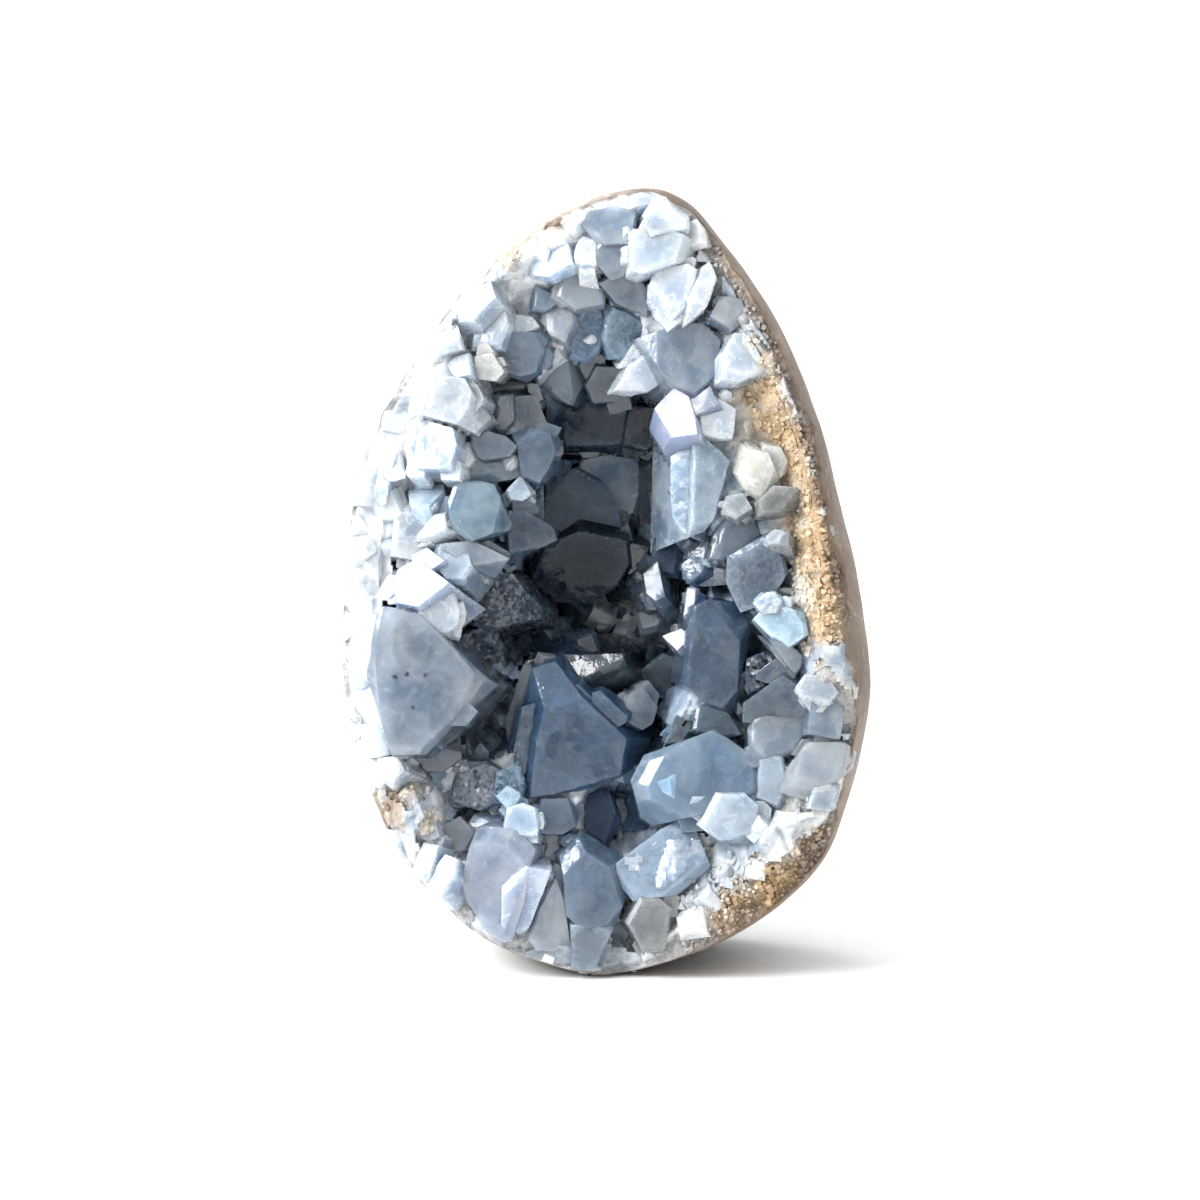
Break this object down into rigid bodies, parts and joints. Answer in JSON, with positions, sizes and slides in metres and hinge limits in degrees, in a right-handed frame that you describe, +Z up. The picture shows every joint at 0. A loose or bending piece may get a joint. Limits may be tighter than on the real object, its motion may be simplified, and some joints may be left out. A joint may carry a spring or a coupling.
{
  "type": "celestite geode",
  "caption": "Egg-shaped celestite geode standing on a small flat spot, its broken front open on a hollow lined with pale blue-grey crystals.",
  "frame": {"origin": "middle of the small ground flat spot that the geode stands on", "axes": "+Z up along the long axis of the egg, -Y out of the open crystal-lined front, +X to the right as the front is looked at"},
  "size_m": [0.0807, 0.053, 0.1182],
  "materials": {
    "host_rock": "matte",
    "celestite": "gloss"
  },
  "bodies": {
    "root": {"host_rock": "host_rock", "crystal_crust": "celestite"}
  },
  "joints": []
}
